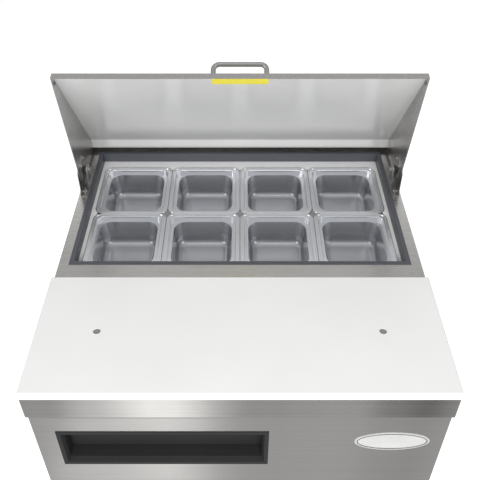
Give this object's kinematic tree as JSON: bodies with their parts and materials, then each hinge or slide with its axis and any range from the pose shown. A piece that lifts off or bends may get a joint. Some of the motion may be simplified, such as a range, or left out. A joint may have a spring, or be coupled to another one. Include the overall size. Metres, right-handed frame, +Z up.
{
  "type": "sandwich prep table",
  "caption": "Refrigerated sandwich prep table on casters, with a cutting board, a hinged hood over food pans and a cupboard below.",
  "frame": {"origin": "on the floor, under the middle of the table's bounding box", "axes": "+Z up, -Y towards the user at the cutting board, +X to the user's right"},
  "size_m": [0.7266, 0.78, 1.2395],
  "materials": {
    "stainless": "brushed",
    "polished_steel": "polished",
    "pan_steel": "satin",
    "badge_metal": "satin",
    "grey_plastic": "moulded",
    "white_board": "matte",
    "black_steel": "painted",
    "black_paint": "gloss paint",
    "foam": "foamed",
    "galvanised": "galvanised",
    "aluminium": "satin",
    "gasket": "soft",
    "black_plastic": "moulded",
    "white_nylon": "moulded",
    "shelf_coating": "powder coat",
    "copper": "drawn",
    "zinc": "zinc plate",
    "wheel_tread": "moulded",
    "red_plastic": "moulded"
  },
  "bodies": {
    "cabinet": {"base_tray": "galvanised", "board_pins": "grey_plastic", "breaker_frame": "grey_plastic", "cabinet_foam": "foam", "cabinet_liner": "aluminium", "cabinet_shell": "stainless", "caster_plates": "zinc", "compressor": "black_paint", "condenser": "aluminium", "controller": "black_plastic", "cord_gland": "black_plastic", "cutting_board": "white_board", "divider_bars": "stainless", "evaporator": "aluminium", "fan_motors": "black_paint", "front_frame": "stainless", "hinge_bases": "stainless", "hinge_brackets": "stainless", "hinge_springs": "black_steel", "hood_back": "stainless", "pan_1": "pan_steel", "pan_2": "pan_steel", "pan_3": "pan_steel", "pan_4": "pan_steel", "pan_5": "pan_steel", "pan_6": "pan_steel", "pan_7": "pan_steel", "pan_8": "pan_steel", "pan_ledge": "stainless", "rear_grille": "galvanised", "refrigerant_tubing": "copper", "shelf": "shelf_coating", "shelf_clips": "galvanised", "worktop": "stainless"},
    "lid": {"lid_skin": "stainless", "lid_foam": "foam", "lid_liner": "polished_steel", "lid_handle": "polished_steel", "hinge_arms": "stainless"},
    "door": {"door_skin": "stainless", "door_foam": "foam", "door_liner": "aluminium", "door_gasket": "gasket", "door_handle": "black_plastic", "door_badge": "badge_metal", "door_bushings": "white_nylon"},
    "condenser_fan_body": {"condenser_fan": "black_plastic"},
    "evaporator_fan_body": {"evaporator_fan": "black_plastic"},
    "switch": {"power_switch": "black_plastic"},
    "knob": {"thermostat_knob": "black_plastic"},
    "swivel_1": {"caster_fork_1": "zinc"},
    "wheel_1": {"caster_wheel_1": "wheel_tread"},
    "swivel_2": {"caster_fork_2": "zinc"},
    "wheel_2": {"caster_wheel_2": "wheel_tread"},
    "swivel_3": {"caster_fork_3": "zinc"},
    "wheel_3": {"caster_wheel_3": "wheel_tread"},
    "swivel_4": {"caster_fork_4": "zinc"},
    "wheel_4": {"caster_wheel_4": "wheel_tread"},
    "pedal_1": {"brake_pedal_1": "red_plastic"},
    "pedal_2": {"brake_pedal_2": "red_plastic"}
  },
  "joints": [
    {"name": "lid_hinge", "type": "hinge", "parent": "cabinet", "child": "lid", "pos_m": [0, 0.213, 0.9525], "axis": [1, 0, 0], "range_deg": [0, 76.6]},
    {"name": "door_hinge", "type": "hinge", "parent": "cabinet", "child": "door", "pos_m": [0.346, -0.3595, 0.5045], "axis": [0, 0, 1], "range_deg": [0, 110]},
    {"name": "condenser_fan_spin", "type": "hinge", "parent": "cabinet", "child": "condenser_fan_body", "pos_m": [0.15, 0.298, 0.26], "axis": [0, 1, 0], "continuous": true},
    {"name": "evaporator_fan_spin", "type": "hinge", "parent": "cabinet", "child": "evaporator_fan_body", "pos_m": [0, 0.242, 0.62], "axis": [0, 1, 0], "continuous": true},
    {"name": "power_switch_rock", "type": "hinge", "parent": "cabinet", "child": "switch", "pos_m": [0.302, 0.3752, 0.415], "axis": [-1, 0, 0], "range_deg": [0, 20]},
    {"name": "thermostat_turn", "type": "hinge", "parent": "cabinet", "child": "knob", "pos_m": [0.238, 0.3782, 0.415], "axis": [0, -1, 0], "range_deg": [0, 300]},
    {"name": "swivel_1_turn", "type": "hinge", "parent": "cabinet", "child": "swivel_1", "pos_m": [-0.305, -0.27, 0.112], "axis": [0, 0, 1], "continuous": true},
    {"name": "wheel_1_roll", "type": "hinge", "parent": "swivel_1", "child": "wheel_1", "pos_m": [-0.305, -0.3, 0.05], "axis": [1, 0, 0], "continuous": true},
    {"name": "swivel_2_turn", "type": "hinge", "parent": "cabinet", "child": "swivel_2", "pos_m": [0.305, -0.27, 0.112], "axis": [0, 0, 1], "continuous": true},
    {"name": "wheel_2_roll", "type": "hinge", "parent": "swivel_2", "child": "wheel_2", "pos_m": [0.305, -0.3, 0.05], "axis": [1, 0, 0], "continuous": true},
    {"name": "swivel_3_turn", "type": "hinge", "parent": "cabinet", "child": "swivel_3", "pos_m": [-0.305, 0.3, 0.112], "axis": [0, 0, 1], "continuous": true},
    {"name": "wheel_3_roll", "type": "hinge", "parent": "swivel_3", "child": "wheel_3", "pos_m": [-0.305, 0.33, 0.05], "axis": [1, 0, 0], "continuous": true},
    {"name": "swivel_4_turn", "type": "hinge", "parent": "cabinet", "child": "swivel_4", "pos_m": [0.305, 0.3, 0.112], "axis": [0, 0, 1], "continuous": true},
    {"name": "wheel_4_roll", "type": "hinge", "parent": "swivel_4", "child": "wheel_4", "pos_m": [0.305, 0.33, 0.05], "axis": [1, 0, 0], "continuous": true},
    {"name": "pedal_1_press", "type": "hinge", "parent": "swivel_1", "child": "pedal_1", "pos_m": [-0.305, -0.286, 0.1044], "axis": [1, 0, 0], "range_deg": [0, 9]},
    {"name": "pedal_2_press", "type": "hinge", "parent": "swivel_2", "child": "pedal_2", "pos_m": [0.305, -0.286, 0.1044], "axis": [1, 0, 0], "range_deg": [0, 9]}
  ]
}
